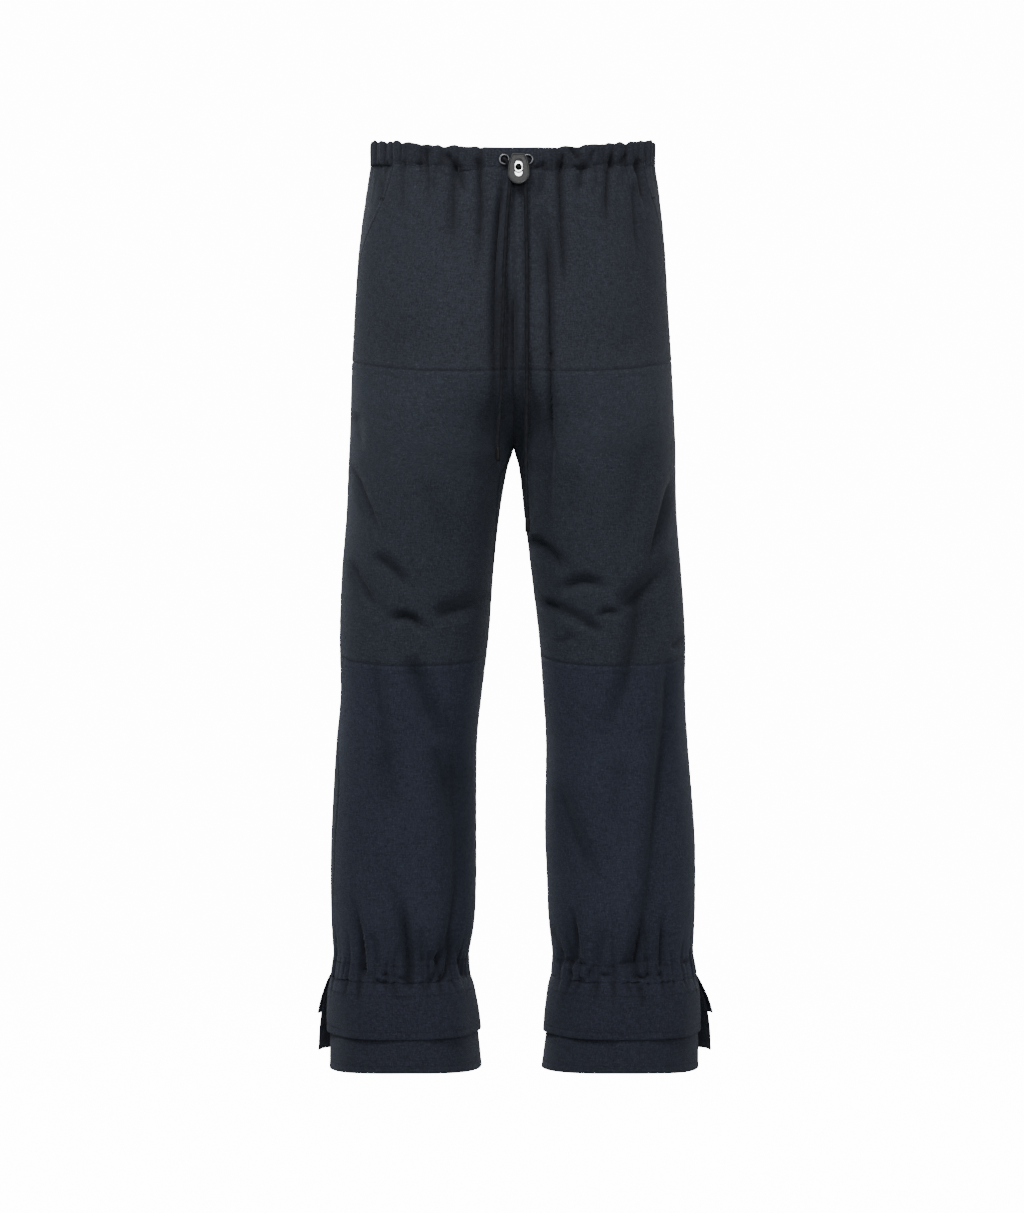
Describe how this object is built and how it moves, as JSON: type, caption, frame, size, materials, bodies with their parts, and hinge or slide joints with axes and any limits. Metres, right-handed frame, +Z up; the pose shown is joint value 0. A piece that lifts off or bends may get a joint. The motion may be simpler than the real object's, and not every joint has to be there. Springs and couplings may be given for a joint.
{
  "type": "trousers",
  "caption": "Wool trousers filled out as if worn: gathered drawstring waist with a cord lock, slant pockets, cross-seamed fronts and double flounced cuffs.",
  "frame": {"origin": "the middle of the waist opening, at the height of its drawstring casing", "axes": "+Z up towards the waist, -Y towards the front, +X towards the wearer's left"},
  "size_m": [0.4479, 0.2556, 1.0319],
  "materials": {
    "wool": "matte woven wool",
    "cord": "braided",
    "cord_tip": "dipped",
    "lock_plastic": "satin",
    "chrome": "polished",
    "button": "glossy",
    "eyelet": "dark plated"
  },
  "bodies": {
    "garment": {"waist_casing_left": "wool", "front_hip_left": "wool", "front_thigh_left": "wool", "front_shin_left": "wool", "back_leg_left": "wool", "pocket_facing_left": "wool", "ankle_casing_left": "wool", "cuff_upper_left": "wool", "cuff_lower_left": "wool", "waist_casing_right": "wool", "front_hip_right": "wool", "front_thigh_right": "wool", "front_shin_right": "wool", "back_leg_right": "wool", "pocket_facing_right": "wool", "ankle_casing_right": "wool", "cuff_upper_right": "wool", "cuff_lower_right": "wool", "eyelet_left": "eyelet", "cord_left": "cord", "cord_tip_left": "cord_tip", "eyelet_right": "eyelet", "cord_right": "cord", "cord_tip_right": "cord_tip", "lock_body": "lock_plastic", "lock_bezel": "chrome"},
    "button": {"lock_button": "button"}
  },
  "joints": [
    {"name": "lock_button_press", "type": "slide", "parent": "garment", "child": "button", "axis": [0, 1, 0], "range_m": [0, 0.002], "stiffness_N_per_m": 400, "springref_m": -0.0005}
  ]
}
